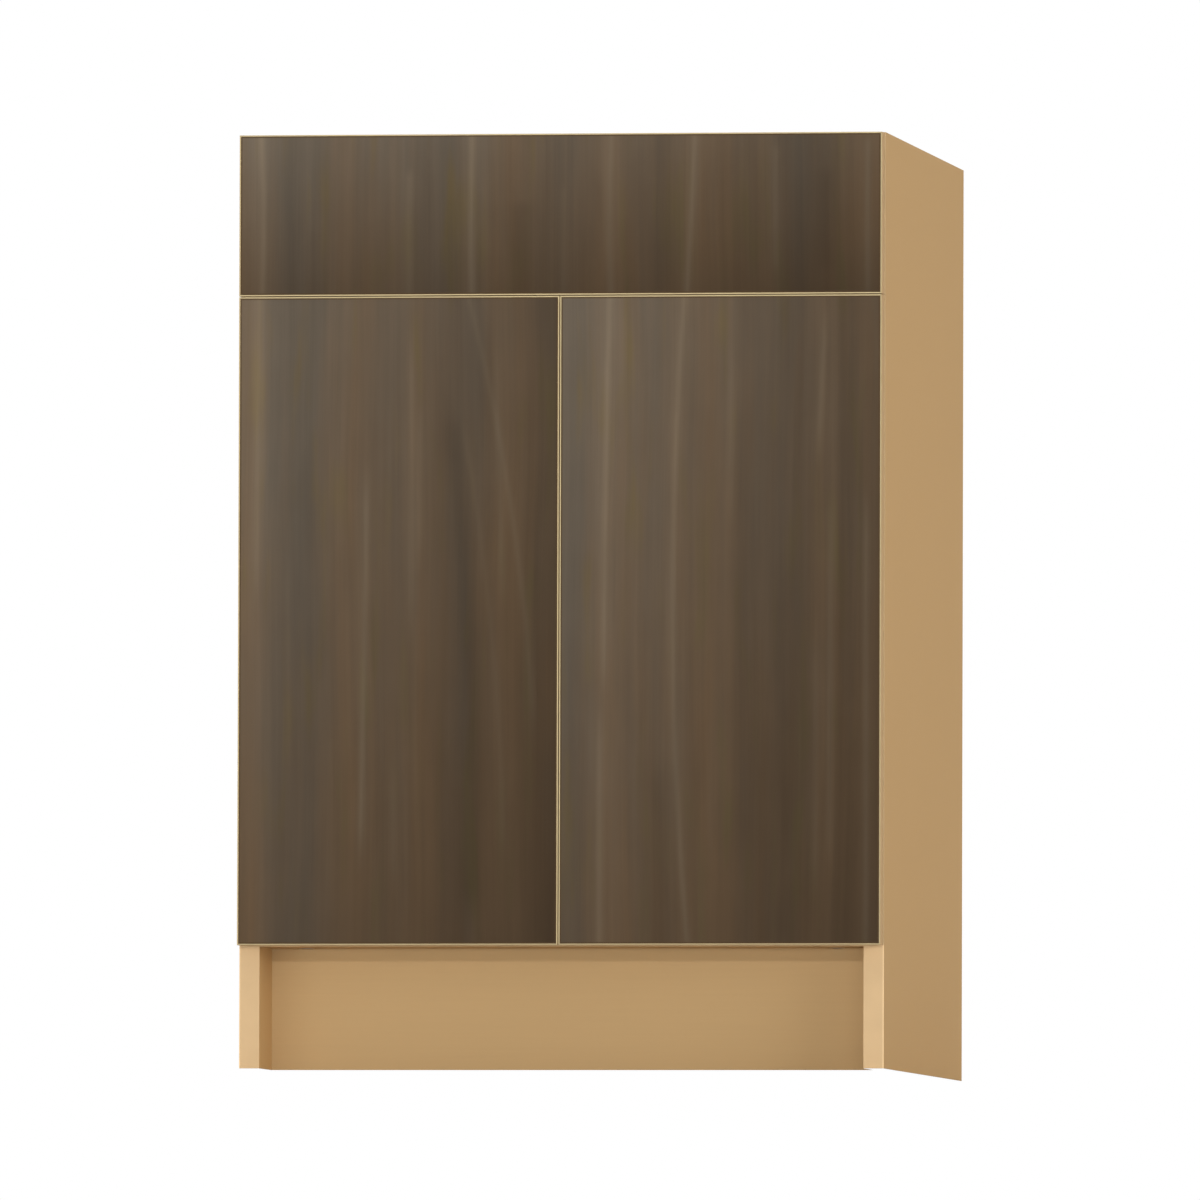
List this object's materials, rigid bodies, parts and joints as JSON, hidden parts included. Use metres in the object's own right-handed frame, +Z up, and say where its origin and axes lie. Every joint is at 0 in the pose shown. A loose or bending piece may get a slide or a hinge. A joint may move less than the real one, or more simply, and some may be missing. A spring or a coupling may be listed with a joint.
{
  "type": "kitchen base cabinet",
  "caption": "Frameless kitchen base cabinet with a drawer over two doors on cup hinges, full-extension runners, an adjustable shelf and a recessed toe board.",
  "frame": {"origin": "on the floor, under the centre of the cabinet's footprint, fronts included", "axes": "+Z up, -Y towards the room (the doors and drawer face -Y), +X to the right seen from the room"},
  "size_m": [0.6096, 0.6096, 0.8763],
  "materials": {
    "tan_board": "matt maple-coloured melamine on particle board",
    "tan_edge": "satin maple-coloured edge banding",
    "dark_laminate": "satin dark walnut-grain laminate, upright grain",
    "birch": "clear-lacquered birch",
    "runner_steel": "zinc-plated cold-rolled steel",
    "bright_steel": "polished steel",
    "nickel": "satin nickel plate",
    "zinc": "bright zinc plate",
    "bumper": "clear soft plastic"
  },
  "bodies": {
    "carcass": {"left_side": "tan_board", "right_side": "tan_board", "bottom_panel": "tan_board", "back_panel": "tan_board", "front_stretcher": "tan_board", "rear_stretcher": "tan_board", "divider_rail": "tan_board", "upper_wall_rail": "tan_board", "lower_wall_rail": "tan_board", "toe_board": "tan_board", "carcass_edging": "tan_edge", "dowels": "birch", "cam_locks": "zinc", "cam_bolts": "zinc", "shelf": "tan_board", "shelf_edging": "tan_edge", "shelf_pins": "bright_steel", "left_cabinet_runner": "runner_steel", "right_cabinet_runner": "runner_steel", "system_screws": "zinc", "left_hinge_plates": "nickel", "right_hinge_plates": "nickel", "left_hinge_arms": "nickel", "right_hinge_arms": "nickel", "hinge_arm_pins": "bright_steel", "hinge_adjusters": "zinc"},
    "middle_runners": {"left_middle_runner": "runner_steel", "right_middle_runner": "runner_steel"},
    "outer_cages": {"outer_ball_cages": "runner_steel", "outer_balls": "bright_steel"},
    "inner_cages": {"inner_ball_cages": "runner_steel", "inner_balls": "bright_steel"},
    "drawer": {"left_drawer_runner": "runner_steel", "right_drawer_runner": "runner_steel", "drawer_left_side": "birch", "drawer_right_side": "birch", "drawer_box_front": "birch", "drawer_box_back": "birch", "drawer_bottom": "birch", "drawer_front": "dark_laminate", "drawer_front_edging": "tan_edge", "drawer_screws": "zinc", "drawer_bumpers": "bumper"},
    "left_outer_link_pair": {"left_outer_links": "nickel"},
    "left_inner_link_pair": {"left_inner_links": "nickel"},
    "left_door": {"left_door_panel": "dark_laminate", "left_door_edging": "tan_edge", "left_hinge_cups": "nickel", "left_cup_pins": "bright_steel", "left_cup_screws": "zinc", "left_door_bumpers": "bumper"},
    "right_outer_link_pair": {"right_outer_links": "nickel"},
    "right_inner_link_pair": {"right_inner_links": "nickel"},
    "right_door": {"right_door_panel": "dark_laminate", "right_door_edging": "tan_edge", "right_hinge_cups": "nickel", "right_cup_pins": "bright_steel", "right_cup_screws": "zinc", "right_door_bumpers": "bumper"}
  },
  "joints": [
    {"name": "drawer_slide", "type": "slide", "parent": "carcass", "child": "drawer", "axis": [0, -1, 0], "range_m": [0, 0.5]},
    {"name": "middle_runner_slide", "type": "slide", "parent": "carcass", "child": "middle_runners", "axis": [0, -1, 0], "range_m": [0, 0.25]},
    {"name": "outer_cage_slide", "type": "slide", "parent": "carcass", "child": "outer_cages", "axis": [0, -1, 0], "range_m": [0, 0.125]},
    {"name": "inner_cage_slide", "type": "slide", "parent": "carcass", "child": "inner_cages", "axis": [0, -1, 0], "range_m": [0, 0.375]},
    {"name": "left_outer_link_pivot", "type": "hinge", "parent": "carcass", "child": "left_outer_link_pair", "pos_m": [-0.27865, -0.27595, 0.4233], "axis": [0, 0, -1], "range_deg": [-36.6, 0]},
    {"name": "left_door_hinge", "type": "hinge", "parent": "left_outer_link_pair", "child": "left_door", "pos_m": [-0.29525, -0.29215, 0.4233], "axis": [0, 0, -1], "range_deg": [0, 141.5]},
    {"name": "left_inner_link_pivot", "type": "hinge", "parent": "carcass", "child": "left_inner_link_pair", "pos_m": [-0.26975, -0.29215, 0.4233], "axis": [0, 0, -1], "range_deg": [-32.1, 0]},
    {"name": "right_outer_link_pivot", "type": "hinge", "parent": "carcass", "child": "right_outer_link_pair", "pos_m": [0.27865, -0.27595, 0.4233], "axis": [0, 0, 1], "range_deg": [-36.6, 0]},
    {"name": "right_door_hinge", "type": "hinge", "parent": "right_outer_link_pair", "child": "right_door", "pos_m": [0.29525, -0.29215, 0.4233], "axis": [0, 0, 1], "range_deg": [0, 141.5]},
    {"name": "right_inner_link_pivot", "type": "hinge", "parent": "carcass", "child": "right_inner_link_pair", "pos_m": [0.26975, -0.29215, 0.4233], "axis": [0, 0, 1], "range_deg": [-32.1, 0]}
  ],
  "couplings": [
    {"joint": "middle_runner_slide", "follows": "drawer_slide", "ratio": 0.5},
    {"joint": "outer_cage_slide", "follows": "drawer_slide", "ratio": 0.25},
    {"joint": "inner_cage_slide", "follows": "drawer_slide", "ratio": 0.75},
    {"joint": "left_outer_link_pivot", "follows": "left_door_hinge", "ratio": -0.25795},
    {"joint": "left_inner_link_pivot", "follows": "left_door_hinge", "ratio": -0.22615},
    {"joint": "right_outer_link_pivot", "follows": "right_door_hinge", "ratio": -0.25795},
    {"joint": "right_inner_link_pivot", "follows": "right_door_hinge", "ratio": -0.22615}
  ]
}
